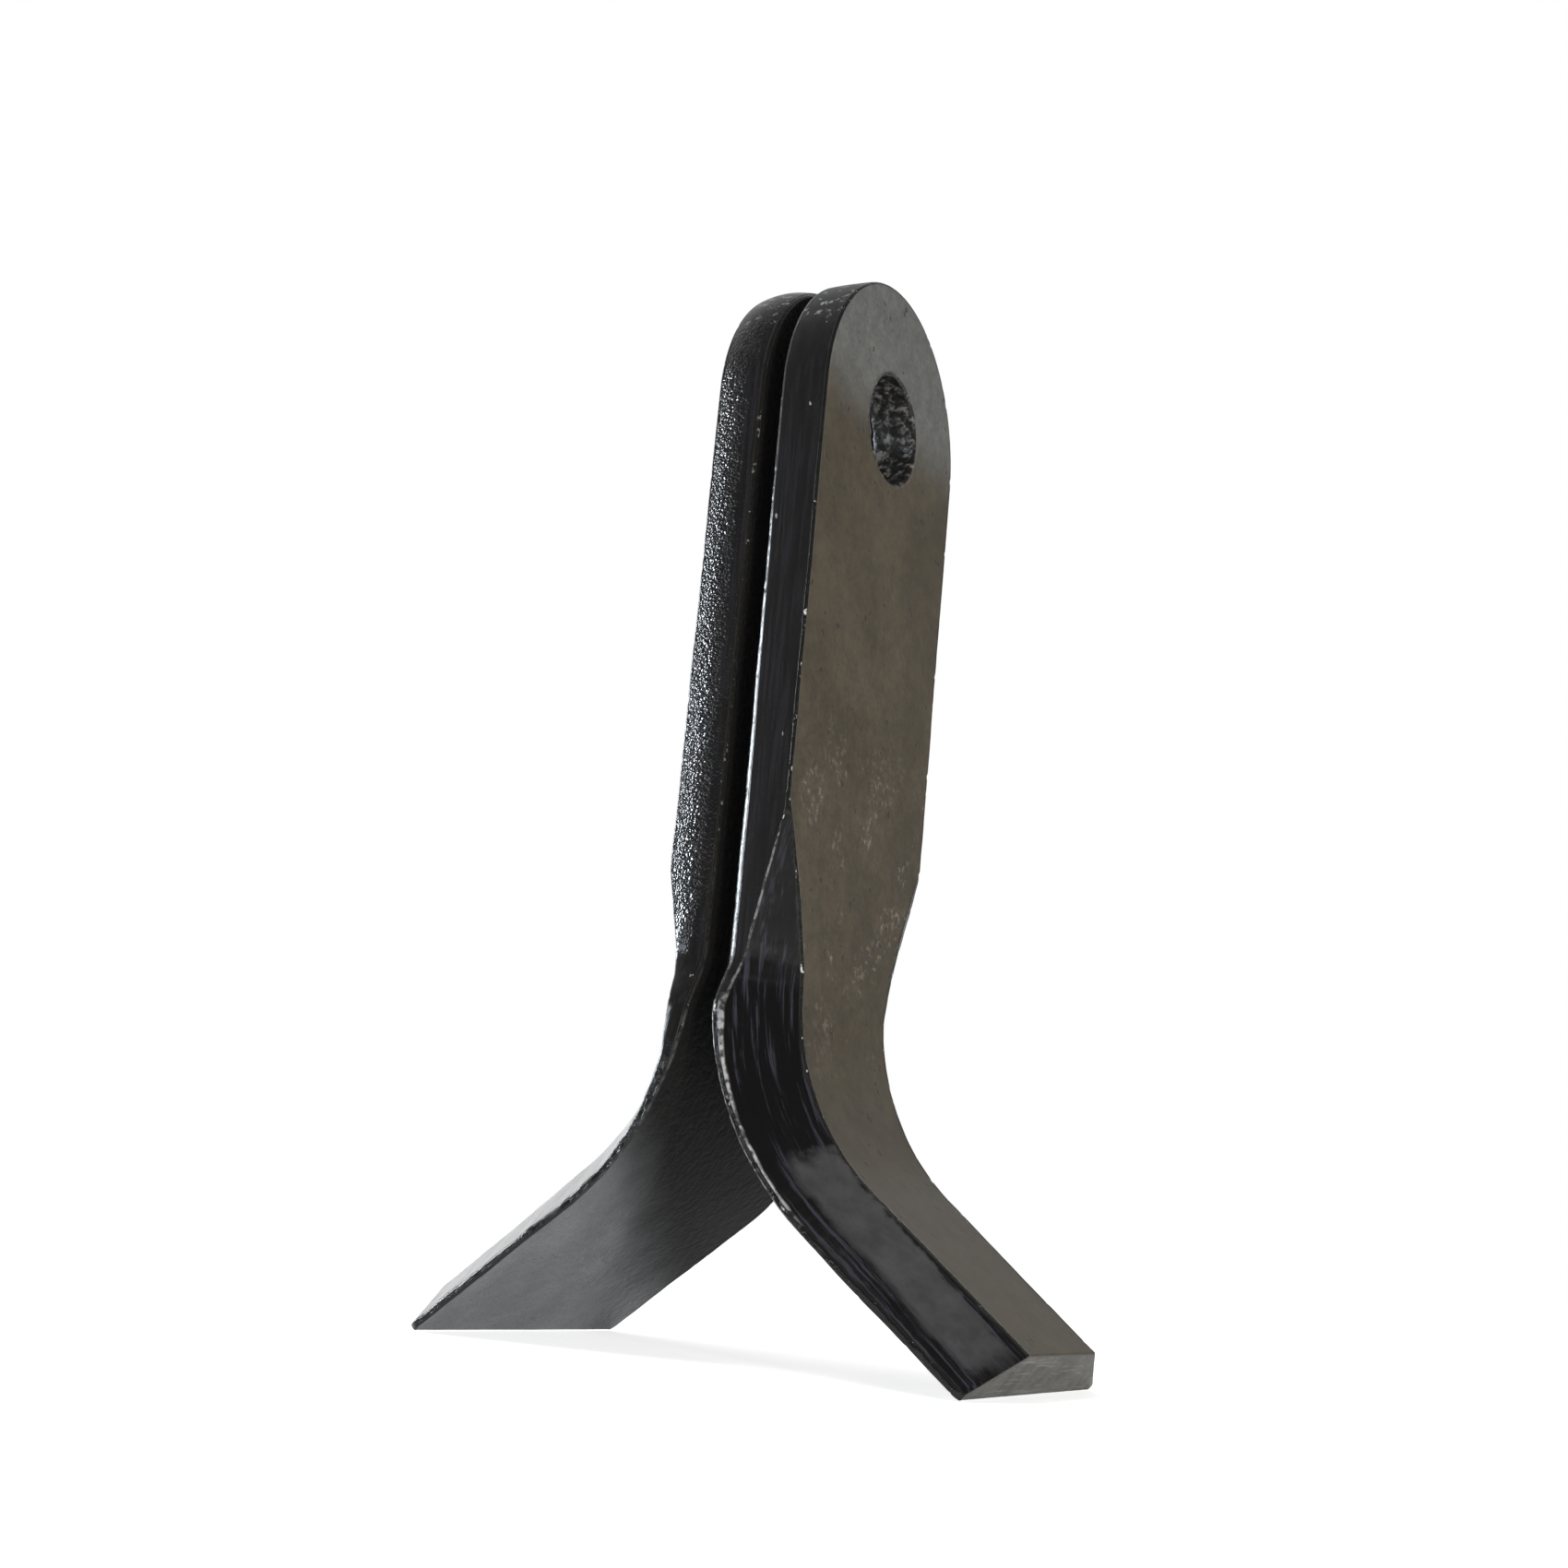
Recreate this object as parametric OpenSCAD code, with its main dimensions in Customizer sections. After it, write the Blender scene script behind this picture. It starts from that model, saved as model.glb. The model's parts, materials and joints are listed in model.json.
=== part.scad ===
// A pair of Y-type flail mower blades, standing back to back on their tips.
//
// Each blade is one forged flat bar: a round end with a pin eye, a straight shank,
// an outward bend and a short straight leg. Both long edges of the lower part are
// bevelled to a cutting edge, so the blade can be turned round when one side is worn.
//
// The origin is the centre of the two pin eyes, midway between the blades.
// X runs along the pin, Y across the bars and Z up the shanks.

/* [Bar] */
// Thickness of the bar
bar_t = 8; // [6:0.5:10]
// Width of the bar along the shank
bar_w = 51; // [45:1:56]

/* [Pin eye] */
// Diameter of the hole for the pin
eye_d = 18; // [12:0.5:22]
// How far the centre of the round end lies below the centre of the eye
end_drop = 1.4; // [0:0.1:4]

/* [Bend and leg] */
// Distance from the centre of the eye down to the start of the bend
shank_l = 95; // [88:1:120]
// Radius of the bend on its hollow side
bend_r = 37.5; // [20:0.5:60]
// Angle of the bend
bend_angle = 51.26; // [30:0.01:70]
// Length of the straight leg below the bend
leg_l = 32; // [15:1:50]
// Radius of the two corners at the tip of the leg
tip_r = 2; // [0.5:0.5:5]

/* [Cutting edges] */
// Width of the forged lower part, from one cutting edge to the other
cut_w = 58; // [54:1:66]
// Width of each bevel, measured across the bar
bevel_w = 14; // [8:0.5:20]
// Thickness of the land that is left along each cutting edge
land_t = 1; // [0.5:0.1:2]
// Distance from the centre of the eye down to where the bevels begin
bevel_top = 69; // [50:1:80]
// Length over which the bar widens just above the bend
flare_l = 7; // [3:0.5:12]

/* [Pair] */
// Clear gap between the backs of the two blades
gap = 3.5; // [0.5:0.5:12]

/* [Hidden] */
$fn = 96;

// Dark paint over forged steel
paint = [0.17, 0.165, 0.155];
// Length by which a cutting tool passes clear of the bar
over = 1;
// Size of a block that is larger than the bar's lower part
block = 120;

// Half widths of the bar: along the shank, over the cutting edges, and between the bevels
shank_half = bar_w / 2;
cut_half = cut_w / 2;
front_half = cut_half - bevel_w;
// Heights of the start of the flare and of the start of the bend
flare_z = flare_l - shank_l;
bend_z = -shank_l;
// Distance from the flat back of the blade to the axis of the bend
bend_axis_x = bar_t + bend_r;

// The bevel runs out along a plane: from its upper end on the front corner of the
// shank, one edge leads down the front and the other across the bar's side face.
runout_top = [bar_t, shank_half, -bevel_top];
runout_front = [bar_t, front_half, bend_z] - runout_top;
runout_side = [land_t, cut_half, bend_z] - runout_top;

// One blade has its flat back on X = 0 and its front, where the bevels are, towards +X.

// Outline of the shank, square to its face: round end, straight sides, flare
module shank_outline() {
    translate([0, -end_drop]) circle(d = bar_w);
    polygon([
        [-shank_half, -end_drop],
        [-shank_half, flare_z],
        [-cut_half, bend_z],
        [cut_half, bend_z],
        [shank_half, flare_z],
        [shank_half, -end_drop]
    ]);
}

// Three-sided block whose inner face is the run-out plane of the bevel on the +Y edge
module bevel_planer() {
    inner = [
        runout_top - runout_front - runout_side,
        runout_top + 3 * runout_front - runout_side,
        runout_top - runout_front + 3 * runout_side
    ];
    outward = [block, block, 0];
    polyhedron(
        points = concat(inner, [for (p = inner) p + outward]),
        faces = [[0, 1, 2], [5, 4, 3], [0, 3, 4, 1], [1, 4, 5, 2], [2, 5, 3, 0]]
    );
}

module shank() {
    difference() {
        rotate([90, 0, 90]) linear_extrude(bar_t) shank_outline();
        translate([-over, 0, 0])
            rotate([0, 90, 0])
            cylinder(d = eye_d, h = bar_t + 2 * over);
        for (side = [0, 1]) mirror([0, side, 0]) bevel_planer();
    }
}

// Cross-section of the cutting part: flat back, two lands and two bevels
module cutting_section() {
    polygon([
        [0, -cut_half],
        [land_t, -cut_half],
        [bar_t, -front_half],
        [bar_t, front_half],
        [land_t, cut_half],
        [0, cut_half]
    ]);
}

// The part of a ring that lies below the shank and above the leg
module bend() {
    intersection() {
        translate([bend_axis_x, 0, bend_z])
            rotate([90, 0, 0])
            rotate_extrude()
            translate([bend_axis_x, 0])
            mirror([1, 0])
            cutting_section();
        translate([-over, -cut_w, bend_z - block]) cube([bend_axis_x + over, 2 * cut_w, block]);
        past_bend() translate([-over, -cut_w, 0]) cube([bend_axis_x + over, 2 * cut_w, block]);
    }
}

// Outline of the leg, square to its face, with rounded corners at the tip
module leg_outline() {
    translate([-cut_half, tip_r - leg_l]) square([cut_w, leg_l - tip_r]);
    translate([tip_r - cut_half, -leg_l]) square([cut_w - 2 * tip_r, leg_l]);
    for (side = [-1, 1]) translate([side * (cut_half - tip_r), tip_r - leg_l]) circle(r = tip_r);
}

module leg() {
    intersection() {
        translate([0, 0, -leg_l]) linear_extrude(leg_l) cutting_section();
        rotate([90, 0, 90]) linear_extrude(bar_t) leg_outline();
    }
}

// Carries a shape from the end of the shank round to the end of the bend
module past_bend() {
    translate([bend_axis_x, 0, bend_z])
        rotate([0, -bend_angle, 0])
        translate([-bend_axis_x, 0, 0])
        children();
}

module blade() {
    shank();
    bend();
    past_bend() leg();
}

module right_blade() {
    color(paint) translate([gap / 2, 0, 0]) blade();
}

// The same blade turned half round about Z
module left_blade() {
    color(paint) rotate([0, 0, 180]) translate([gap / 2, 0, 0]) blade();
}

right_blade();
left_blade();
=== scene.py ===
"""A pair of Y-type flail mower blades in black paint, standing back to back on their feet.

Each blade is one dense mesh: an eye end, a shank and a bent cutting part, drawn from
cross-sections along the bar. Geometry Nodes then give it its forged and painted relief.
Lengths in the shape code are millimetres in the blade's own frame: depth (or through) runs
from the flat back (0) to the front, across runs over the width of the bar, and along runs
down from the eye.
"""
import json
import math

import bmesh
import bpy
import numpy as np
from mathutils import Matrix, Vector


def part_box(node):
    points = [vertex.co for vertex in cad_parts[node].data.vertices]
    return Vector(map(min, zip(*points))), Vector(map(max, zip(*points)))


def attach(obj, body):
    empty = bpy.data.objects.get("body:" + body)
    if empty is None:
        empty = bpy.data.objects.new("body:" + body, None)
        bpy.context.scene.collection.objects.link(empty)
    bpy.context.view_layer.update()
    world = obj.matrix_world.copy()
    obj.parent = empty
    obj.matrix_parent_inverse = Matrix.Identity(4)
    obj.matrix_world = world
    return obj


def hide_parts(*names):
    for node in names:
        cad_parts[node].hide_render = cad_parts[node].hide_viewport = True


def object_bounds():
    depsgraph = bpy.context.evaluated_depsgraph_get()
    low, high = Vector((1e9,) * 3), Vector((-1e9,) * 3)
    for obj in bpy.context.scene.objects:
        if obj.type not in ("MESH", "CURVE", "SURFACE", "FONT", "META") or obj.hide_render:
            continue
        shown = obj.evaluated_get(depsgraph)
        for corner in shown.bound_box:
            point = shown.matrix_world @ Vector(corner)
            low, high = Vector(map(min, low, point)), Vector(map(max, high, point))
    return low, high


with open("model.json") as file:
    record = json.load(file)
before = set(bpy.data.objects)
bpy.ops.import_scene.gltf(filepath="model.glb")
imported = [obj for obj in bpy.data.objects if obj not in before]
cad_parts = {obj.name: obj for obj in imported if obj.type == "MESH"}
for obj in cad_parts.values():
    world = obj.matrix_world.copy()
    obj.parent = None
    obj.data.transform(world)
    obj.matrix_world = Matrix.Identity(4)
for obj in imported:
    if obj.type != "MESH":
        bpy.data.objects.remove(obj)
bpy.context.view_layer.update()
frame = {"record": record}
MM = 0.001

# ---------------------------------------------------------------- sizes, from the frame
low, high = (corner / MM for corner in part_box("right_blade"))
eyes = next(m for m in frame["record"]["mounts"] if m["name"] == "pin_eyes")
HALF_GAP = low.x        # half of the gap between the two backs
BAR_T = eyes["dims"]["length_mm"] / 2 - HALF_GAP
EYE_R = eyes["dims"]["r_mm"]
CUT_HALF = high.y
END_DROP = 1.4          # the round of the eye end is centred this far below the eye
SHANK_HALF = high.z + END_DROP
SHANK_L = 95.0          # from the eye down to the bend
BEND_R = 37.5           # of the front face
BEND_ANGLE = math.radians(51.26)
LEG_L = (-low.z - SHANK_L - (BEND_R + BAR_T) * math.sin(BEND_ANGLE)) / math.cos(BEND_ANGLE)
BEND_L = BEND_ANGLE * (BEND_R + BAR_T / 2)
BAR_END = SHANK_L + BEND_L + LEG_L

CHAMFER = 0.28          # softened corners of the shank
LAND = 1.0              # thickness left along the cutting edge
RUNOUT_EASE = 1.6       # how softly the side of the bar dies out into the cutting edge
FLARE = (91.0, 101.0)   # where the bar widens into the cutting part
BEVEL_GROWTH = 27.0     # length over which a bevel grows to its full width
HEAD_L = 16.0           # the eye end is drawn as rings down to here
TIP_R = 1.6             # rounded corners of the foot, seen from the front
END_ROUND = 0.35        # softened border of the sawn end

# Segments of the mesh: across each face of the bar, round its corners, and along it
FACE_COLS, CORNER_COLS, BEVEL_COLS, SIDE_COLS = 18, 5, 12, 24
STATION_STEP = 0.40
RINGS, RIM_ROWS, EYE_ROWS = 16, 3, 14
RIM_ROUND = 0.55
ARC_STEPS, STRAIGHT_STEPS = 130, 24
SIDE_CHAIN = 3 * CORNER_COLS + BEVEL_COLS + SIDE_COLS
SIDE_START = FACE_COLS + 2 * CORNER_COLS + BEVEL_COLS + 1
SIDE_STOP = SIDE_START + SIDE_COLS - 1

ZONES = ["front", "side", "bevel", "corner", "back", "end", "eye"]
ZONE = {name: index for index, name in enumerate(ZONES)}

# What differs from blade to blade:
#   bevel_top, bevel_foot   where the bevels start, and where they reach the cutting edge
#   tip_half, front_half    half widths of the cutting part at the tip, and of its front face
#                           between the bevels, below the neck and at the tip
#   edge_crown              how far the side of the bar bulges
#   inner_corner            how round the back corners have become at the foot of the shank
#   grain                   numbers for the finishes; patch is where the grey patch of a bevel
#                           starts and stops along the bar, and far_side is the end of the
#                           across axis that lies away from the camera, towards which the foot
#                           of the back is left dark as painted shade
BLADES = {
    "right_blade": {
        "piece": "right_blade_forging",
        "turn": 1,
        "seed": 3.0,
        "bevel_top": 69.0,
        "bevel_foot": 101.0,
        "tip_half": 27.6,
        "edge_crown": 0.10,
        "inner_corner": 1.5,
        "front_half": (15.2, 14.3),
        "relief": {"Pebble height": 0.03, "Pebble size": 1.5, "Streak depth": 0.07},
        "grain": {
            "pebble": 0.015,
            "side_gloss": 0.20,
            "edge_highlight_and_wear": 0.75,
            "chipping": 1.0,
            "far_side": 1.0,
            "patch": (126.0, 162.5),
            "patch_edge": 27.0,
            "bare_and_shine": (0.040, 0.040, 0.041),
            "bare_rough": 0.30,
        },
    },
    "left_blade": {
        "piece": "left_blade_forging",
        "turn": -1,
        "seed": 11.0,
        "bevel_top": 77.0,
        "bevel_foot": 110.0,
        "tip_half": 29.0,
        "edge_crown": 0.65,
        "inner_corner": 0.5,
        "front_half": (17.2, 15.4),
        "relief": {"Pebble height": 0.08, "Pebble size": 1.0, "Streak depth": 0.05},
        "grain": {
            "pebble": 0.17,
            "side_gloss": 0.11,
            "edge_highlight_and_wear": 0.08,
            "chipping": 0.3,
            "far_side": -1.0,
            "patch": (112.0, 168.0),
            "patch_edge": 33.0,
            # the left blade's lighter patch is partly a painted reflection of glare on its bevel
            "bare_and_shine": (0.085, 0.089, 0.093),
            "bare_rough": 0.15,
        },
    },
}


# ---------------------------------------------------------------- cross-sections of the bar
def smooth(start, stop, value):
    t = np.clip((value - start) / (stop - start), 0, 1)
    return t * t * (3 - 2 * t)


def mix(a, b, t):
    return a + (b - a) * t


def wobble(along, seed, length):
    """A slow wave between about -1 and 1, for lines that a forge leaves uneven."""
    waves = [(1.0, 1.0), (0.43, 0.6), (0.19, 0.35)]
    total = sum(
        size * np.sin(2 * math.pi * along / (length * share) + seed * (5.3 + 9.7 * share))
        for share, size in waves
    )
    return total / 1.95


def spaced(steps, crowd):
    """Shares from 0 to 1, crowded towards the start, the end or both, which keeps paint lines
    crisp there."""
    t = np.linspace(0, 1, steps + 1)
    if crowd == "start":
        return 1 - np.cos(t * math.pi / 2)
    if crowd == "end":
        return np.sin(t * math.pi / 2)
    return (1 - np.cos(t * math.pi)) / 2


def straight(a, b, steps, crowd="both"):
    """Points from a to b, without a itself: arrays of shape (n, 2) give (n, steps, 2)."""
    t = spaced(steps, crowd)[1:, None]
    return a[:, None] * (1 - t) + b[:, None] * t


def rounded(a, corner, b, steps):
    """A quarter-turn corner from a to b, without a itself."""
    turn = np.linspace(0, math.pi / 2, steps + 1)[1:, None]
    from_a, from_b = np.sin(turn), np.cos(turn)
    shift = (a - corner)[:, None] * (1 - from_a) + (b - corner)[:, None] * (1 - from_b)
    return corner[:, None] + shift


def half_section(blade, along, side):
    """Half of the bar's outline at each station, as (depth, across) from the middle of the
    front round to the middle of the back."""
    seed = blade["seed"] + 2.7 * side
    cut = smooth(*FLARE, along)
    shaky = smooth(HEAD_L, HEAD_L + 12, along)
    half = mix(SHANK_HALF, CUT_HALF, cut) + mix(0.10, 0.22, cut) * shaky * (wobble(along, seed, 31) - 1)
    half -= (CUT_HALF - blade["tip_half"]) * smooth(BAR_END - 26, BAR_END, along)
    past_tip = np.clip(along - (BAR_END - TIP_R), 0, TIP_R)
    half -= TIP_R - np.sqrt(TIP_R**2 - past_tip**2)

    crown = blade["edge_crown"]
    top = blade["bevel_top"] + 0.8 * side
    growth = 1 - (1 - np.clip((along - top) / BEVEL_GROWTH, 0, 1)) ** 1.35
    runout = np.clip((along - top) / (blade["bevel_foot"] - top), 0, 1)
    chamfer = CHAMFER + 0.05 * shaky * wobble(along, seed + 1, 17)
    full_front = mix(*blade["front_half"], smooth(SHANK_L + 25, BAR_END, along))
    half -= crown * (1 - runout)
    front_half = mix(half - chamfer, full_front + 0.15 * wobble(along, seed + 2, 23), growth)
    rest = (BAR_T - LAND) * (1 - (along - top) / (blade["bevel_foot"] - top))
    wedge = LAND + (rest + np.sqrt(rest**2 + RUNOUT_EASE**2)) / 2
    wedge += 0.12 * runout * wobble(along, seed + 3, 9)
    side_depth = np.minimum(BAR_T - chamfer, wedge)
    side_depth += 0.25 * runout * (1 - runout) * wobble(along, seed + 4, 13)

    def points(depth, across):
        return np.stack(np.broadcast_arrays(depth, across), -1).astype(float)

    zero = np.zeros_like(along)
    middle_front, middle_back = points(BAR_T + zero, zero), points(zero, zero)
    front, shoulder, back = points(BAR_T, front_half), points(side_depth, half), points(zero, half)
    slope = shoulder - front
    slope /= np.linalg.norm(slope, axis=1, keepdims=True)
    soft_front = mix(0.14, 0.9, growth * (1 - runout)) + 0.25 * growth * runout
    soft_shoulder = mix(0.16, 0.25, runout)
    soft_back = mix(0.5, blade["inner_corner"], smooth(0, SHANK_L, along))
    soft_back = mix(soft_back, 0.35, smooth(0.75, 1.0, runout))
    a1, b1 = front - points(zero, soft_front), front + slope * soft_front[:, None]
    a2, b2 = shoulder - slope * soft_shoulder[:, None], shoulder - points(soft_shoulder, zero)
    a3, b3 = back + points(soft_back, zero), back - points(zero, soft_back)
    chain = np.concatenate(
        [
            middle_front[:, None],
            straight(middle_front, a1, FACE_COLS, "end"),
            rounded(a1, front, b1, CORNER_COLS),
            straight(b1, a2, BEVEL_COLS),
            rounded(a2, shoulder, b2, CORNER_COLS),
            straight(b2, a3, SIDE_COLS),
            rounded(a3, back, b3, CORNER_COLS),
            straight(b3, middle_back, FACE_COLS, "start"),
        ],
        1,
    )
    over_side = chain[:, SIDE_START:SIDE_STOP]
    height = np.clip(over_side[:, :, 0] / side_depth[:, None], 0, 1)
    over_side[:, :, 1] += crown * (1 - runout[:, None]) * 4 * height * (1 - height)
    chain[:, :, 1] *= side
    return chain


def bent(depth, across, along):
    """Points of the straight bar carried round the bend."""
    turn = np.clip((along - SHANK_L) / (BEND_R + BAR_T / 2), 0, BEND_ANGLE)
    before = np.minimum(along, SHANK_L)
    beyond = np.maximum(along - SHANK_L - BEND_L, 0)
    radius = BEND_R + BAR_T - depth
    x = BAR_T + BEND_R - radius * np.cos(turn) + beyond * np.sin(turn)
    z = -before - radius * np.sin(turn) - beyond * np.cos(turn)
    return np.stack(np.broadcast_arrays(x, across, z), -1)


# ---------------------------------------------------------------- the blade's mesh
class Shell:
    """Grids of points that are sewn into one closed mesh."""

    def __init__(self):
        self.points, self.bar, self.faces, self.zones = [], [], [], []

    def grid(self, places, bar, zones):
        """places and bar have shape (rows, columns, 3); zones has one entry per quad."""
        rows, cols = places.shape[:2]
        first = sum(len(p) for p in self.points)
        self.points.append(places.reshape(-1, 3))
        self.bar.append(bar.reshape(-1, 3))
        index = first + np.arange(rows * cols).reshape(rows, cols)
        quads = np.stack([index[:-1, :-1], index[1:, :-1], index[1:, 1:], index[:-1, 1:]], -1)
        self.faces.append(quads.reshape(-1, 4))
        self.zones.append(np.broadcast_to(zones, (rows - 1, cols - 1)).reshape(-1))

    def mesh(self, name):
        points, bar = np.concatenate(self.points), np.concatenate(self.bar)
        faces, zones = np.concatenate(self.faces), np.concatenate(self.zones)
        mesh = bpy.data.meshes.new(name)
        mesh.from_pydata((points * MM).tolist(), [], faces.tolist())
        for axis, label in enumerate(("through", "across", "along")):
            mesh.attributes.new(label, "FLOAT", "POINT").data.foreach_set("value", bar[:, axis])
        mesh.attributes.new("zone", "INT", "FACE").data.foreach_set("value", zones.astype(np.int32))
        sewn = bmesh.new()
        sewn.from_mesh(mesh)
        bmesh.ops.remove_doubles(sewn, verts=sewn.verts, dist=0.002 * MM)
        bmesh.ops.recalc_face_normals(sewn, faces=sewn.faces)
        sewn.to_mesh(mesh)
        sewn.free()
        return mesh


def chain_zones(blade, along):
    """The zone of each quad between two stations: rows along the bar, columns round half of it."""
    cutting = (along[:-1] > blade["bevel_top"] + 1.5)[:, None]
    landed = (along[:-1] > blade["bevel_foot"] - 3)[:, None]
    columns = np.repeat(
        [0, 1, 2, 3, 4, 5, 6],
        [FACE_COLS, CORNER_COLS, BEVEL_COLS, CORNER_COLS, SIDE_COLS, CORNER_COLS, FACE_COLS],
    )[None]
    zones = np.select(
        [columns == 0, columns == 6, columns == 2, columns == 4],
        [
            ZONE["front"],
            ZONE["back"],
            np.where(cutting, ZONE["bevel"], ZONE["corner"]),
            np.where(landed, ZONE["corner"], ZONE["side"]),
        ],
        ZONE["corner"],
    )
    return zones


def add_bar(shell, blade):
    """The shank below the eye, the bend and the leg, with its rounded end."""
    count = round((BAR_END - END_ROUND - HEAD_L) / STATION_STEP)
    along = np.linspace(HEAD_L, BAR_END - TIP_R, count)
    tip = BAR_END - TIP_R + TIP_R * np.sin(np.linspace(0, 1, 9)[1:] * math.pi / 2 * 0.93)
    along = np.append(along, tip[tip < BAR_END - END_ROUND])
    along = np.append(along, BAR_END - END_ROUND)
    turns = np.linspace(0, math.pi / 2, 4)[1:]
    for side in (1, -1):
        chain = half_section(blade, along, side)
        last, last_along = chain[-1], along[-1]
        for turn in turns:
            inset = END_ROUND * (1 - math.cos(turn))
            shrunk = last.copy()
            shrunk[:, 0] = BAR_T / 2 + (last[:, 0] - BAR_T / 2) * (1 - 2 * inset / BAR_T)
            shrunk[:, 1] *= 1 - inset / CUT_HALF
            chain = np.concatenate([chain, shrunk[None]])
        stations = np.append(along, last_along + END_ROUND * np.sin(turns))
        depth, across, down = chain[:, :, 0], chain[:, :, 1], stations[:, None] + 0 * chain[:, :, 0]
        zones = chain_zones(blade, stations)
        shell.grid(bent(depth, across, down), np.stack([depth, across, down], -1), zones)
        add_end(shell, chain[-1], stations[-1])


def add_end(shell, chain, along):
    """The sawn end: columns from the front to the back, the last of them the side of the bar."""
    front = chain[: FACE_COLS + 1]
    side = chain[FACE_COLS : FACE_COLS + SIDE_CHAIN + 1]
    back = chain[FACE_COLS + SIDE_CHAIN :][::-1]
    rows = np.linspace(0, 1, SIDE_CHAIN + 1)[None, :, None]
    flat = front[:, None] * (1 - rows) + back[:, None] * rows
    flat[-1] = side
    depth, across = flat[:, :, 0], flat[:, :, 1]
    down = along + 0 * depth
    shell.grid(bent(depth, across, down), np.stack([depth, across, down], -1), ZONE["end"])


def add_eye_end(shell, blade):
    """The rounded end of the bar: its rim, its two faces round the eye, and the eye's wall."""
    section = half_section(blade, np.array([HEAD_L]), 1)[0]
    rim = section[FACE_COLS : FACE_COLS + SIDE_CHAIN + 1]
    half = section[:, 1].max()

    heights = np.linspace(-HEAD_L, -END_DROP, STRAIGHT_STEPS + 1)[:-1]
    angles = np.linspace(0, math.pi, ARC_STEPS + 1)
    outward = np.concatenate(
        [
            np.tile([1.0, 0.0], (STRAIGHT_STEPS, 1)),
            np.stack([np.cos(angles), np.sin(angles)], -1),
            np.tile([-1.0, 0.0], (STRAIGHT_STEPS, 1)),
        ]
    )
    centre_z = np.concatenate([heights, np.full(ARC_STEPS + 1, -END_DROP), heights[::-1]])

    def round_rim(depth, across):
        """Points of the rim's section carried round the end of the bar."""
        y = outward[:, :1] * across
        z = centre_z[:, None] + outward[:, 1:] * across
        return np.stack(np.broadcast_arrays(depth + 0 * y, y, z), -1)

    def bar_frame(places):
        return np.stack([places[..., 0], places[..., 1], -places[..., 2]], -1)

    places = round_rim(rim[:, 0], rim[:, 1])
    columns = np.repeat(
        [ZONE["corner"], ZONE["side"], ZONE["corner"]],
        [2 * CORNER_COLS + BEVEL_COLS, SIDE_COLS, CORNER_COLS],
    )
    shell.grid(places, bar_frame(places), columns)

    def face_loop(columns, edge):
        """The outline of one face of the head: the bottom line, and once round the rim."""
        bottom = np.stack([columns[:, 0], columns[:, 1], np.full(len(columns), -HEAD_L)], -1)
        mirrored = bottom[::-1] * [1, -1, 1]
        return np.concatenate([bottom[:-1], places[:, edge], mirrored[1:]])

    front_loop = face_loop(section[: FACE_COLS + 1], 0)
    back_loop = face_loop(section[FACE_COLS + SIDE_CHAIN :][::-1], -1)
    bearing = np.arctan2(front_loop[:, 2], front_loop[:, 1])[:, None]
    ring = np.stack([np.cos(bearing), np.sin(bearing)], -1)

    def circle(depth, radius):
        depth, radius = np.atleast_1d(depth)[None], np.atleast_1d(radius)[None]
        flat = ring * radius[..., None]
        return np.stack(np.broadcast_arrays(depth, flat[..., 0], flat[..., 1]), -1)

    for loop, depth, zone in ((front_loop, BAR_T, "front"), (back_loop, 0.0, "back")):
        inner = circle(depth, EYE_R + RIM_ROUND)
        t = spaced(RINGS, "both")[None, :, None]
        face = inner * (1 - t) + loop[:, None] * t
        shell.grid(face, bar_frame(face), ZONE[zone])

    turn = np.linspace(0, math.pi / 2, RIM_ROWS + 1)
    rim_depth, rim_radius = RIM_ROUND * (1 - np.sin(turn)), RIM_ROUND * (1 - np.cos(turn))
    wall = np.linspace(BAR_T - RIM_ROUND, RIM_ROUND, EYE_ROWS + 1)
    depths = np.concatenate([BAR_T - rim_depth[::-1], wall[1:-1], rim_depth])
    radii = EYE_R + np.concatenate([rim_radius[::-1], 0 * wall[1:-1], rim_radius])
    eye = circle(depths, radii)
    shell.grid(eye, bar_frame(eye), ZONE["eye"])


def blade_mesh(name, blade):
    shell = Shell()
    add_bar(shell, blade)
    add_eye_end(shell, blade)
    mesh = shell.mesh(name)
    turned = Matrix.Rotation(0 if blade["turn"] > 0 else math.pi, 4, "Z")
    mesh.transform(turned @ Matrix.Translation((HALF_GAP * MM, 0, 0)))
    mark_zones(mesh)
    return mesh


def mark_zones(mesh):
    """Gives each point its share of every zone, for the relief and the finish."""
    zones = np.zeros(len(mesh.polygons), np.int32)
    mesh.attributes["zone"].data.foreach_get("value", zones)
    mesh.polygons.foreach_set("use_smooth", np.ones(len(zones), bool))
    corners = np.zeros(len(mesh.loops), np.int32)
    mesh.loops.foreach_get("vertex_index", corners)
    sizes = np.zeros(len(zones), np.int32)
    mesh.polygons.foreach_get("loop_total", sizes)
    corner_zone = np.repeat(zones, sizes)
    touching = np.maximum(np.bincount(corners, minlength=len(mesh.vertices)), 1)
    for name, index in ZONE.items():
        share = np.bincount(corners, corner_zone == index, len(mesh.vertices)) / touching
        attribute = mesh.attributes.new("share_" + name, "FLOAT", "POINT")
        attribute.data.foreach_set("value", share.astype(np.float32))


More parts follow.
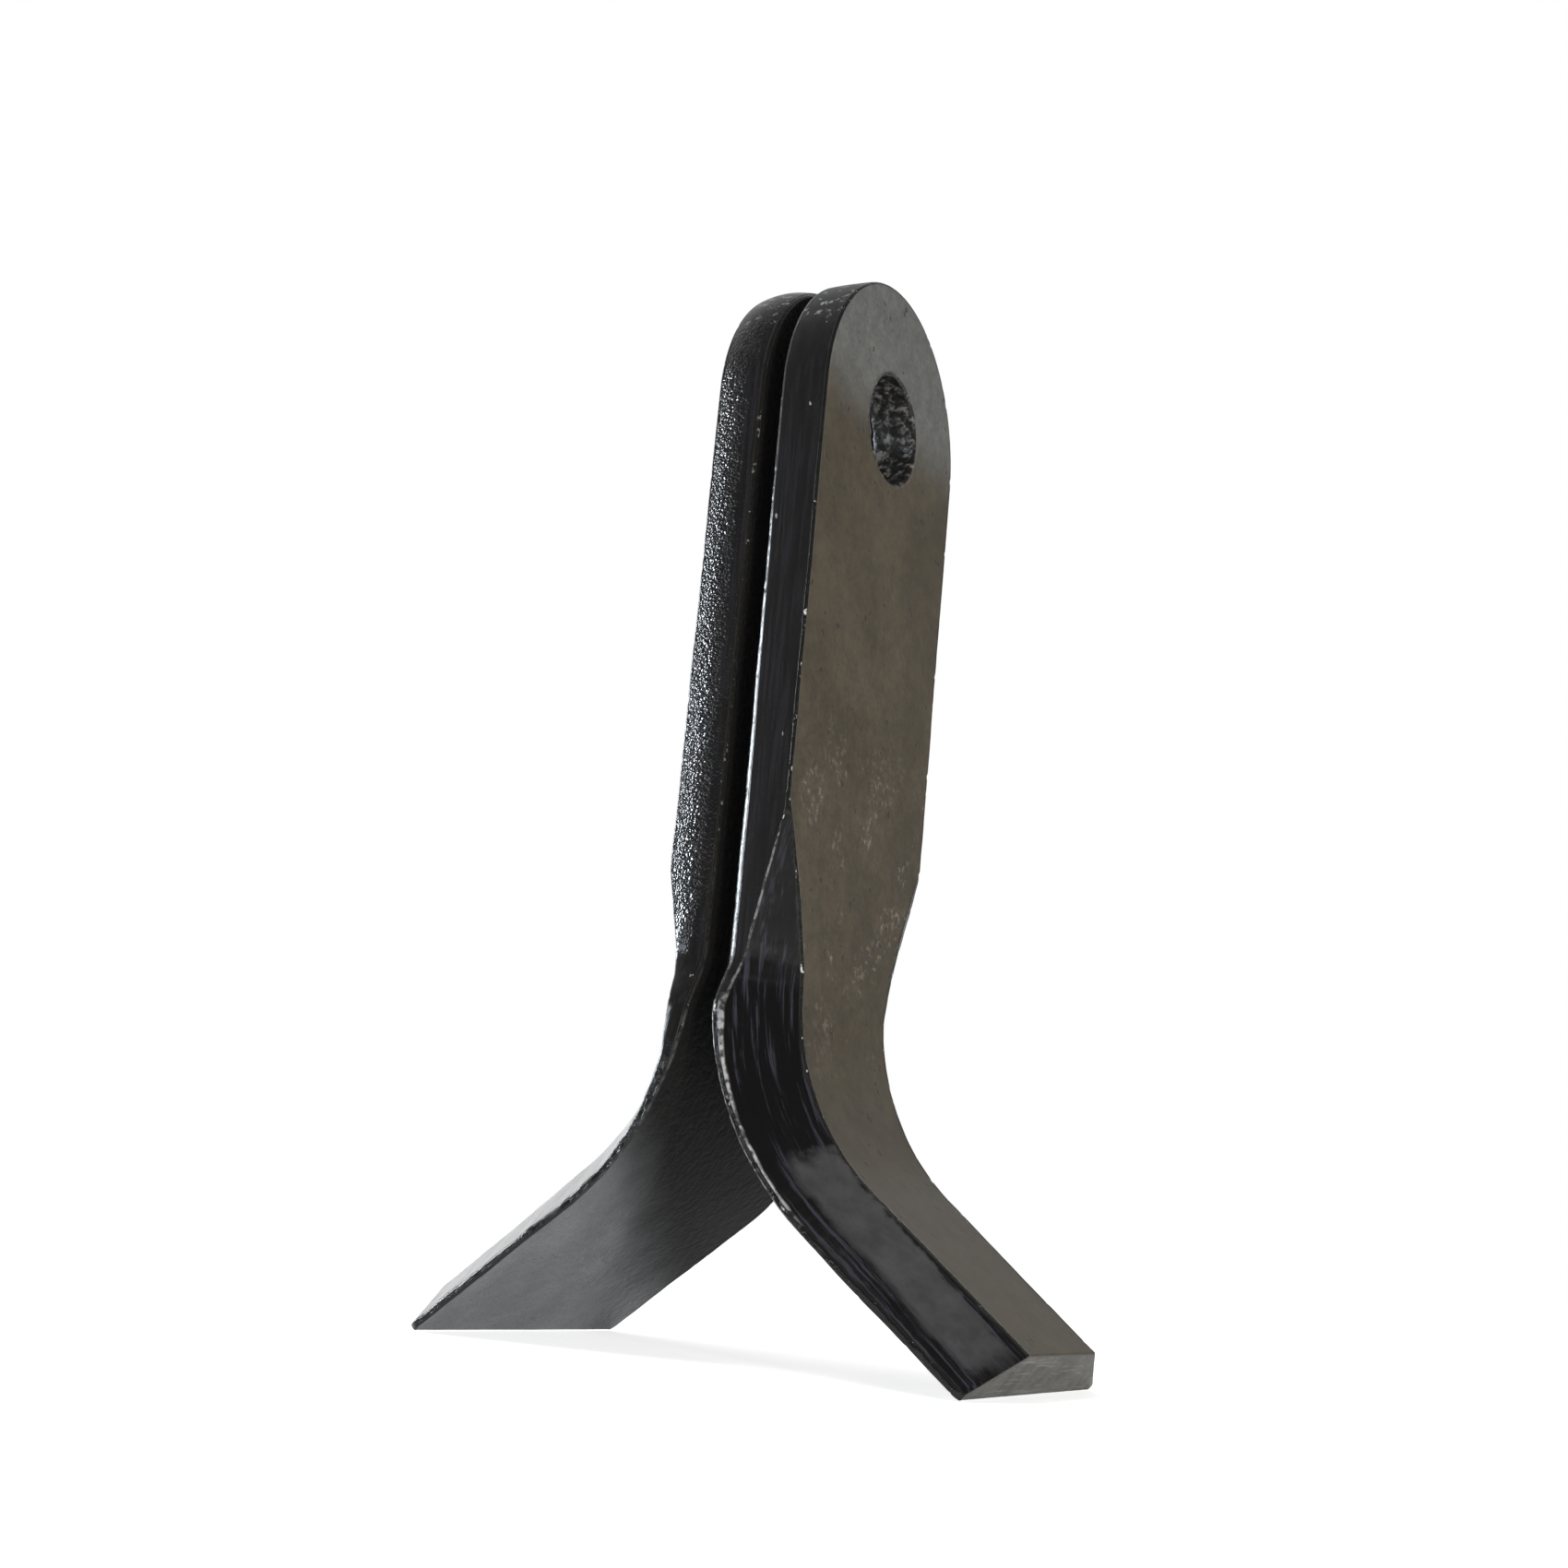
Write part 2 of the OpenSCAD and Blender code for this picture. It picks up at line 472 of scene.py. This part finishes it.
# ---------------------------------------------------------------- node trees in short
class Graph:
    """Shorthand for a node tree: adds nodes, links sockets, and sets plain values on them."""

    def __init__(self, tree):
        self.tree = tree

    def node(self, kind, inputs=(), **settings):
        made = self.tree.nodes.new(kind)
        for name, value in settings.items():
            setattr(made, name, value)
        for name, value in dict(inputs).items():
            self.feed(made.inputs[name], value)
        return made

    def feed(self, socket, value):
        if isinstance(value, bpy.types.NodeSocket):
            self.tree.links.new(value, socket)
        else:
            socket.default_value = value

    def math(self, operation, *values):
        return self.node("ShaderNodeMath", enumerate(values), operation=operation).outputs[0]

    def add(self, *values):
        total = values[0]
        for value in values[1:]:
            total = self.math("ADD", total, value)
        return total

    def times(self, *values):
        product = values[0]
        for value in values[1:]:
            product = self.math("MULTIPLY", product, value)
        return product

    def step(self, value, start, stop, low=0.0, high=1.0):
        """Eases from low to high while value goes from start to stop."""
        inputs = {"Value": value, "From Min": start, "From Max": stop, "To Min": low, "To Max": high}
        return self.node("ShaderNodeMapRange", inputs, interpolation_type="SMOOTHSTEP").outputs[0]

    def noise(self, place, size, seed, detail=2.0, roughness=0.5):
        """Smooth noise round 0.5, with blobs about `size` across."""
        scale = 1 / size if isinstance(size, (int, float)) else self.math("DIVIDE", 1.0, size)
        inputs = {"Vector": place, "W": seed, "Scale": scale, "Detail": detail, "Roughness": roughness}
        return self.node("ShaderNodeTexNoise", inputs, noise_dimensions="4D").outputs[0]

    def cells(self, place, size, seed):
        """Distance from the middles of round cells about `size` across, from 0 up to about 0.7."""
        scale = 1 / size if isinstance(size, (int, float)) else self.math("DIVIDE", 1.0, size)
        inputs = {"Vector": place, "W": seed, "Scale": scale}
        return self.node("ShaderNodeTexVoronoi", inputs, voronoi_dimensions="4D").outputs["Distance"]

    def place(self, x, y, z):
        return self.node("ShaderNodeCombineXYZ", enumerate((x, y, z))).outputs[0]

    def blend(self, amount, first, second):
        """Colours mixed by amount."""
        made = self.node("ShaderNodeMix", data_type="RGBA")
        self.feed(made.inputs[0], amount)
        for index, colour in ((6, first), (7, second)):
            linked = isinstance(colour, bpy.types.NodeSocket)
            self.feed(made.inputs[index], colour if linked else (*colour, 1.0))
        return made.outputs[2]

    def dim(self, colour, factor):
        """A colour multiplied by a plain number or a socket."""
        made = self.node("ShaderNodeVectorMath", {0: colour}, operation="SCALE")
        self.feed(made.inputs["Scale"], factor)
        return made.outputs[0]


# ---------------------------------------------------------------- the forged surface
RELIEF_INPUTS = {
    "Pebble height": 0.03,  # bumps on the sides of the bar
    "Pebble size": 1.5,
    "Streak depth": 0.07,  # grooves that the bevelling tool dragged along the bar
    "Pit depth": 0.09,
    "Peel height": 0.05,  # orange peel on the back
    "Eye roughness": 0.22,
    "Chip depth": 0.16,
    "Seed": 0.0,
}


def pebble_reach(g, along, through):
    """Where the sides are pebbled: from the eye to the flare, and most in the middle of the side."""
    down_the_bar = g.times(g.step(along, -15.0, -6.0), g.step(along, 95.0, 82.0))
    past_the_back = g.step(through, 0.5, 4.5, 0.40, 1.0)
    short_of_the_front = g.step(through, 8.8, 7.0, 0.40, 1.0)
    return g.times(down_the_bar, g.times(past_the_back, short_of_the_front))


def relief_tree():
    """Geometry Nodes that sink every face of a blade a little, each in its own way. Only the
    wall of the eye also rises in places, so the blade keeps its outer size. Depths are in
    millimetres."""
    tree = bpy.data.node_groups.new("forged surface relief", "GeometryNodeTree")
    sockets = tree.interface
    sockets.new_socket("Geometry", in_out="OUTPUT", socket_type="NodeSocketGeometry")
    sockets.new_socket("Geometry", in_out="INPUT", socket_type="NodeSocketGeometry")
    for name, value in RELIEF_INPUTS.items():
        sockets.new_socket(name, in_out="INPUT", socket_type="NodeSocketFloat").default_value = value
    sockets.new_socket("Finish", in_out="INPUT", socket_type="NodeSocketMaterial")
    g = Graph(tree)
    given = g.node("NodeGroupInput").outputs
    seed = given["Seed"]

    def mark(name):
        return g.node("GeometryNodeInputNamedAttribute", {"Name": name}, data_type="FLOAT").outputs[0]

    along, across, through = mark("along"), mark("across"), mark("through")
    spot = g.place(through, across, along)
    drawn_out = g.place(through, across, g.times(along, 0.06))

    pebbles = g.step(g.cells(spot, given["Pebble size"], seed), 0.05, 0.62)
    pebbles = g.add(g.times(pebbles, 0.7), g.times(g.noise(spot, 3.2, seed), 0.6))
    side = g.times(mark("share_side"), given["Pebble height"], pebbles, pebble_reach(g, along, through))
    streaks = g.step(g.noise(drawn_out, 0.9, seed, 3.0), 0.35, 0.68)
    bevel = g.times(mark("share_bevel"), given["Streak depth"], streaks)
    pits = g.step(g.noise(spot, 2.6, g.add(seed, 5.0), 1.0), 0.70, 0.80)
    swell = g.times(g.noise(spot, 14.0, seed, 1.0), 0.14)
    front = g.times(mark("share_front"), g.add(g.times(given["Pit depth"], pits), swell))
    peel = g.add(g.noise(spot, 1.9, seed, 2.0), g.times(g.noise(spot, 6.0, seed), 1.4))
    back = g.times(mark("share_back"), given["Peel height"], peel)
    torn = g.noise(g.place(g.times(through, 0.7), across, along), 1.7, seed, 4.0, 0.65)
    eye = g.times(mark("share_eye"), given["Eye roughness"], g.step(torn, 0.3, 0.7, -1.0, 0.6))
    chips = g.step(g.noise(spot, 1.5, g.add(seed, 9.0), 3.0, 0.6), 0.56, 0.70)
    corner = g.times(mark("share_corner"), given["Chip depth"], chips)
    sawn = g.noise(g.place(through, g.times(across, 0.1), 0.0), 0.6, seed, 2.0)
    end = g.times(mark("share_end"), 0.08, sawn)

    depth = g.add(side, bevel, front, back, corner, end, eye)
    normal = g.node("GeometryNodeInputNormal").outputs[0]
    sink = g.dim(normal, g.times(depth, -MM))
    moved = g.node("GeometryNodeSetPosition", {"Geometry": given["Geometry"], "Offset": sink})
    inputs = {"Geometry": moved.outputs[0], "Name": "chipped", "Value": corner}
    kept = g.node("GeometryNodeStoreNamedAttribute", inputs, data_type="FLOAT", domain="POINT")
    whole = g.node("GeometryNodeRealizeInstances", {"Geometry": kept.outputs[0]})
    inputs = {"Geometry": whole.outputs[0], "Material": given["Finish"]}
    painted = g.node("GeometryNodeSetMaterial", inputs)
    tree.links.new(painted.outputs[0], g.node("NodeGroupOutput").inputs[0])
    return tree


def with_relief(mesh, name, tree, values, finish):
    """The mesh after the relief tree, as a plain mesh with nothing left to evaluate."""
    rough = bpy.data.objects.new(name + "_blank", mesh)
    bpy.context.scene.collection.objects.link(rough)
    modifier = rough.modifiers.new("relief", "NODES")
    modifier.node_group = tree
    sockets = {s.name: s.identifier for s in tree.interface.items_tree if s.in_out == "INPUT"}
    for label, value in values.items():
        modifier[sockets[label]] = value
    modifier[sockets["Finish"]] = finish
    bpy.context.view_layer.update()
    graph = bpy.context.evaluated_depsgraph_get()
    result = bpy.data.meshes.new_from_object(rough.evaluated_get(graph), depsgraph=graph)
    bpy.data.objects.remove(rough)
    return result


# ---------------------------------------------------------------- the finishes
def grey(value):
    return (value, value, value)


class Surface:
    """What the finishes of one blade share: the places they are drawn in, and their seed."""

    def __init__(self, g, seed):
        self.g, self.seed = g, seed
        coords = g.node("ShaderNodeTexCoord").outputs["Object"]
        self.spot = g.node("ShaderNodeMapping", {"Vector": coords, "Scale": (1 / MM,) * 3}).outputs[0]
        self.along, self.across, self.through = map(self.mark, ("along", "across", "through"))
        bar = g.place(self.through, self.across, self.along)
        self.drawn = g.node("ShaderNodeMapping", {"Vector": bar, "Scale": (1, 1, 0.05)}).outputs[0]

    def mark(self, name):
        return self.g.node("ShaderNodeAttribute", attribute_name=name).outputs["Fac"]


def front_finish(s, grain):
    """Thin brown-black varnish over mill scale with scuffs and pits; greyer round the eye as a painted
    reflection.
    """
    g = s.g
    slow, fine = g.noise(s.spot, 14.0, s.seed, 3.0), g.noise(s.spot, 0.7, s.seed, 3.0, 0.7)
    mottle = g.noise(s.spot, 2.4, s.seed + 1, 3.0, 0.6)
    olive = g.blend(g.step(slow, 0.35, 0.65), (0.036, 0.0285, 0.0165), (0.049, 0.040, 0.0245))
    olive = g.blend(g.step(s.along, 100.0, 150.0, 0.0, 0.85), olive, (0.035, 0.0275, 0.0125))
    rust = g.times(g.step(g.noise(s.spot, 7.0, s.seed + 2, 4.0, 0.6), 0.54, 0.64), 0.45)
    olive = g.blend(rust, olive, (0.050, 0.035, 0.023))
    # painted reflection: the front face turns grey towards the eye end
    painted_reflection_near_eye = g.step(g.add(s.along, g.times(g.noise(s.spot, 8.0, s.seed), 5.0)), 9.0, -4.0)
    colour = g.blend(painted_reflection_near_eye, olive, (0.080, 0.081, 0.077))
    scuffed = g.times(g.step(s.along, 48.0, 66.0), g.step(s.along, 112.0, 94.0))
    marks = g.noise(s.spot, 1.1, s.seed + 4, 5.0, 0.7)
    where = g.step(g.noise(s.spot, 9.0, s.seed + 3), 0.50, 0.58)
    scuffs = g.times(scuffed, where, g.step(marks, 0.52, 0.62))
    colour = g.blend(g.times(scuffs, 0.75), colour, (0.15, 0.128, 0.110))
    pits = g.step(g.noise(s.spot, 1.7, s.seed + 6, 1.0), 0.695, 0.72)
    specks = g.step(g.noise(s.spot, 0.6, s.seed + 7, 1.0), 0.76, 0.82)
    colour = g.blend(g.times(g.math("MAXIMUM", pits, specks), 0.7), colour, grey(0.014))
    cloud = g.times(g.step(fine, 0.3, 0.7, 0.78, 1.22), g.step(mottle, 0.3, 0.7, 0.86, 1.14))
    colour = g.dim(colour, cloud)
    roughness = g.add(0.42, g.times(fine, 0.12), g.times(scuffs, 0.10))
    height = g.add(g.times(fine, 0.02), g.times(pits, -0.06), g.times(mottle, 0.03))
    return colour, roughness, height


def side_finish(s, grain):
    """Gloss black over the forged side of the bar, with faint streaks and a few chips."""
    g = s.g
    streaks = g.noise(s.drawn, 0.7, s.seed + 1, 3.0, 0.6)
    colour = g.blend(g.step(streaks, 0.4, 0.7), grey(0.0065), (0.013, 0.013, 0.015))
    crown = g.times(g.step(s.along, -9.0, -13.0), g.step(s.along, -22.5, -19.0))
    scuffs = g.times(crown, g.step(g.noise(s.spot, 1.3, s.seed + 8, 4.0, 0.7), 0.56, 0.63))
    flakes = g.place(s.through, s.across, g.times(s.along, 0.45))
    chips = g.step(g.noise(flakes, 0.9, s.seed + 9, 2.0), 0.735, 0.755)
    marks = g.math("MAXIMUM", g.times(scuffs, 0.9), chips)
    colour = g.blend(g.times(marks, 0.8), colour, (0.30, 0.31, 0.32))
    grains = g.add(g.cells(s.spot, 0.45, s.seed), g.times(g.noise(s.spot, 0.9, s.seed, 2.0), 0.8))
    roughness = g.add(grain["side_gloss"], g.times(streaks, 0.05), g.times(crown, 0.22))
    reach = g.add(0.08, g.times(pebble_reach(g, s.along, s.through), 0.92))
    return colour, roughness, g.times(grains, reach, -grain["pebble"])


def bevel_finish(s, grain):
    """Gloss black with tool drag marks, and a duller grey patch on the leg; on the left blade
    the patch is painted lighter as a painted reflection of glare.
    """
    g = s.g
    drag, wisps = g.noise(s.drawn, 0.8, s.seed + 3, 4.0, 0.65), g.noise(s.spot, 4.0, s.seed, 4.0, 0.6)
    start, stop = grain["patch"]
    ragged = g.add(s.along, g.times(wisps, 9.0))
    band = g.add(g.math("ABSOLUTE", s.across), g.times(wisps, 4.0))
    patch = g.times(g.step(ragged, start, start + 4), g.step(ragged, stop + 6, stop + 2))
    edge = grain["patch_edge"]
    patch = g.times(patch, g.step(band, 17.5, 18.4), g.step(band, edge, edge - 1.8))
    neck = g.step(g.add(s.along, g.times(drag, 34.0)), 112.0, 100.0)
    colour = g.blend(g.step(drag, 0.50, 0.66), grey(0.002), (0.026, 0.027, 0.036))
    colour = g.blend(g.times(neck, 0.4), colour, grey(0.003))
    # the grey patch: ground steel, and on the left blade also a painted reflection
    cloudy = g.dim(grain["bare_and_shine"], g.step(wisps, 0.3, 0.7, 0.75, 1.25))
    colour = g.blend(patch, colour, cloudy)
    roughness = g.add(0.16, g.times(drag, 0.12), g.times(patch, grain["bare_rough"]), g.times(neck, 0.34))
    grit = g.times(g.noise(s.spot, 0.7, s.seed, 2.0), patch, 0.12)
    return colour, roughness, g.add(g.times(drag, 0.06), g.times(wisps, 0.012), grit)


def back_finish(s, grain):
    """Satin black with orange peel; the foot is painted grey as a reflection, with its far side
    left dark as painted shade.
    """
    g = s.g
    peel = g.add(g.noise(s.spot, 1.4, s.seed, 2.0), g.times(g.noise(s.spot, 0.5, s.seed, 1.0), 0.4))
    cloud = g.noise(s.spot, 7.0, s.seed + 2, 3.0)
    # painted reflection and shade: the foot turns grey on the near side, and a slanted line leaves its
    # far side dark
    slant = g.add(s.along, g.times(s.across, -0.55 * grain["far_side"]), g.times(cloud, 4.0))
    painted_reflection_on_foot = g.step(slant, 129.0, 152.0)
    colour = g.blend(painted_reflection_on_foot, (0.0045, 0.0042, 0.004), (0.122, 0.130, 0.136))
    colour = g.dim(colour, g.step(cloud, 0.3, 0.7, 0.88, 1.12))
    roughness = g.add(g.step(painted_reflection_on_foot, 0.0, 1.0, 0.80, 0.40), g.times(peel, 0.06))
    return colour, roughness, g.times(peel, 0.5)


def end_finish(s, grain):
    """The sawn end under little paint: grey, with fine lines along the cut."""
    g = s.g
    lines = g.noise(g.place(s.through, g.times(s.across, 0.06), 0.0), 0.45, s.seed, 3.0, 0.6)
    dirt = g.noise(s.spot, 2.4, s.seed + 1, 4.0, 0.6)
    colour = g.blend(g.step(dirt, 0.42, 0.62), (0.076, 0.076, 0.068), (0.046, 0.046, 0.041))
    colour = g.blend(g.step(lines, 0.54, 0.66, 0.0, 0.8), colour, (0.15, 0.15, 0.135))
    return colour, g.add(0.42, g.times(lines, 0.10)), g.times(lines, 0.03)


def eye_finish(s, grain):
    """The punched wall of the eye: black in the hollows, unpainted steel on its torn ridges."""
    g = s.g
    torn = g.noise(s.spot, 1.4, s.seed + 7, 4.0, 0.7)
    colour = g.blend(g.step(torn, 0.48, 0.64), grey(0.008), (0.13, 0.126, 0.12))
    return colour, g.add(0.28, g.times(torn, 0.15)), g.times(torn, 0.25)


def corner_finish(s, grain):
    """Black paint that has chipped to bright steel where the corner was knocked, and two broken
    bright lines along the cutting edge that are wear through the paint and a painted highlight."""
    g = s.g
    specks = g.step(g.noise(s.spot, 0.6, s.seed + 5, 3.0, 0.7), 0.48, 0.58)
    bare_and_shine = g.times(g.step(s.mark("chipped"), 0.03, 0.09), specks, grain["chipping"])
    off_middle = g.math("ABSOLUTE", g.math("SUBTRACT", s.through, 0.6))
    # two bright lines on the back corner: wear through the paint, painted also as the highlight that the
    # corner catches
    lines = g.times(g.step(g.math("ABSOLUTE", s.across), 24.4, 25.0), g.step(off_middle, 0.32, 0.42))
    highlight_and_wear_lines = g.times(lines, g.step(s.along, 72.0, 78.0, 0.0, 0.4), g.step(s.along, 134.0, 126.0))
    highlight_and_wear_lines = g.times(highlight_and_wear_lines, g.step(s.along, 98.0, 103.0, 1.0, 2.4))
    broken = g.step(g.noise(s.spot, 1.3, s.seed + 12, 3.0), 0.42, 0.58, 0.1, 1.0)
    bare_and_shine = g.math("MAXIMUM", bare_and_shine, g.times(highlight_and_wear_lines, broken, grain["edge_highlight_and_wear"]))
    colour = g.blend(bare_and_shine, grey(0.006), (0.45, 0.45, 0.46))
    return colour, g.add(0.13, g.times(bare_and_shine, 0.12)), g.times(specks, 0.02)


FINISHES = {
    "side": side_finish,
    "bevel": bevel_finish,
    "back": back_finish,
    "end": end_finish,
    "eye": eye_finish,
    "corner": corner_finish,
}


def blade_paint(name, blade):
    """One paint over a whole blade, which looks different on each kind of face."""
    material = bpy.data.materials.new(name)
    material.use_nodes = True
    material.node_tree.nodes.clear()
    g = Graph(material.node_tree)
    s = Surface(g, blade["seed"])
    colour, roughness, height = front_finish(s, blade["grain"])
    for zone, finish in FINISHES.items():
        share = s.mark("share_" + zone)
        zone_colour, zone_roughness, zone_height = finish(s, blade["grain"])
        colour = g.blend(share, colour, zone_colour)
        rest = g.math("SUBTRACT", 1.0, share)
        roughness = g.add(g.times(rest, roughness), g.times(share, zone_roughness))
        height = g.add(g.times(rest, height), g.times(share, zone_height))
    bump = g.node("ShaderNodeBump", {"Height": height, "Distance": MM, "Strength": 1.0})
    shader = g.node("ShaderNodeBsdfPrincipled", {"Base Color": colour, "Roughness": roughness})
    shader.inputs["Specular IOR Level"].default_value = 0.35
    g.feed(shader.inputs["Normal"], bump.outputs[0])
    output = g.node("ShaderNodeOutputMaterial")
    g.feed(output.inputs["Surface"], shader.outputs[0])
    return material


def floor_paint():
    """Matt off-white that looks evenly pale, but throws only a part of that glow on the
    blades."""
    material = bpy.data.materials.new("studio floor")
    material.use_nodes = True
    g = Graph(material.node_tree)
    shader = material.node_tree.nodes["Principled BSDF"]
    coords = g.node("ShaderNodeTexCoord").outputs["Object"]
    uneven = g.noise(coords, 0.3, 1.0, 2.0)
    g.feed(shader.inputs["Base Color"], g.blend(uneven, grey(0.86), grey(0.90)))
    shader.inputs["Roughness"].default_value = 0.9
    shader.inputs["Emission Color"].default_value = (1.0, 1.0, 1.0, 1.0)
    seen = g.node("ShaderNodeLightPath").outputs["Is Camera Ray"]
    g.feed(shader.inputs["Emission Strength"], g.step(seen, 0.0, 1.0, 0.30, 0.72))
    shader.inputs["Specular IOR Level"].default_value = 0.1
    return material


# ---------------------------------------------------------------- the studio
CAMERA_AT = Vector((145.47, -284.73, -130.48)) * MM
CAMERA_PITCH, CAMERA_ROLL, CAMERA_YAW = 0.2153, -0.0928, 0.4850
CAMERA_LENS, SENSOR = 46.47, 36.0


def add_camera():
    camera = bpy.data.cameras.new("camera")
    camera.lens, camera.sensor_width = CAMERA_LENS, SENSOR
    camera.clip_start = 0.01
    holder = bpy.data.objects.new("camera", camera)
    bpy.context.scene.collection.objects.link(holder)
    aim = Matrix.Rotation(CAMERA_YAW, 4, "Z") @ Matrix.Rotation(CAMERA_PITCH, 4, "X")
    aim = aim @ Matrix.Rotation(CAMERA_ROLL, 4, "Y") @ Matrix.Rotation(math.pi / 2, 4, "X")
    holder.matrix_world = Matrix.Translation(CAMERA_AT) @ aim
    bpy.context.scene.camera = holder


def add_floor():
    size, level = 6.0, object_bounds()[0].z
    corners = [(-size, -size, level), (size, -size, level), (size, size, level), (-size, size, level)]
    mesh = bpy.data.meshes.new("floor")
    mesh.from_pydata(corners, [], [(0, 1, 2, 3)])
    mesh.materials.append(floor_paint())
    floor = bpy.data.objects.new("floor", mesh)
    bpy.context.scene.collection.objects.link(floor)


def add_softbox(name, place, aim, size, power, colour, lights):
    """An area light that is either mirrored by gloss or lights matt colour."""
    light = bpy.data.lights.new(name, "AREA")
    light.shape, light.size, light.size_y = "RECTANGLE", *size
    light.energy, light.color = power, colour
    holder = bpy.data.objects.new(name, light)
    holder.location = place
    holder.visible_glossy = lights == "gloss"
    holder.visible_diffuse = lights == "matt"
    holder.rotation_euler = (Vector(aim) - Vector(place)).to_track_quat("-Z", "Y").to_euler()
    bpy.context.scene.collection.objects.link(holder)


def add_world():
    """Soft light that is strongest from behind the object; what the camera sees is plain white."""
    world = bpy.data.worlds.new("studio")
    world.use_nodes = True
    world.node_tree.nodes.clear()
    g = Graph(world.node_tree)
    direction = g.node("ShaderNodeTexCoord").outputs["Generated"]
    inputs = {0: direction, 1: (-0.75, 0.66, 0.0)}
    toward_bright = g.node("ShaderNodeVectorMath", inputs, operation="DOT_PRODUCT").outputs["Value"]
    strength = g.step(toward_bright, -0.1, 0.90, 0.17, 0.9)
    strength = g.add(strength, g.step(toward_bright, 0.80, 0.97, 0.0, 1.5))
    lit = g.node("ShaderNodeBackground", {"Strength": strength})
    lit.inputs["Color"].default_value = (1.0, 1.0, 1.0, 1.0)
    seen = g.node("ShaderNodeBackground", {"Strength": 1.0})
    seen.inputs["Color"].default_value = (1.0, 1.0, 1.0, 1.0)
    from_camera = g.node("ShaderNodeLightPath").outputs["Is Camera Ray"]
    both = g.node("ShaderNodeMixShader", {0: from_camera, 1: lit.outputs[0], 2: seen.outputs[0]})
    g.node("ShaderNodeOutputWorld", {"Surface": both.outputs[0]})
    bpy.context.scene.world = world


# name, place, aim, size, power, colour, and what it lights
MIDDLE, FEET = (0.0, 0.0, -0.06), (-0.03, 0.0, -0.12)
COOL, WHITE, WARM = (0.84, 0.92, 1.0), (1.0, 1.0, 1.0), (1.0, 0.98, 0.95)
LAMPS = [
    ("window", (-0.86, -0.29, 0.05), MIDDLE, (0.10, 0.4), 12.5, COOL, "gloss"),
    ("strip", (-0.66, -0.62, 0.10), MIDDLE, (0.05, 0.3), 0.9, COOL, "gloss"),
    ("overhead", (-0.35, -0.30, 1.0), MIDDLE, (0.6, 0.6), 8.0, WHITE, "matt"),
    ("low lamp", (0.62, -0.39, -0.10), FEET, (0.08, 0.08), 5.0, WARM, "matt"),
]


def add_studio():
    add_world()
    bpy.context.scene.view_settings.view_transform = "Standard"
    for lamp in LAMPS:
        add_softbox(*lamp)


# ---------------------------------------------------------------- the object
def make_blade(node, blade, tree):
    finish = blade_paint(node.replace("_", " ") + " paint", blade)
    values = dict(blade["relief"], Seed=blade["seed"])
    mesh = with_relief(blade_mesh(node, blade), node, tree, values, finish)
    piece = bpy.data.objects.new(blade["piece"], mesh)
    bpy.context.scene.collection.objects.link(piece)
    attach(piece, node)
    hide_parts(node)


add_camera()
add_floor()
add_studio()
relief = relief_tree()
for node_name, blade_facts in BLADES.items():
    make_blade(node_name, blade_facts, relief)
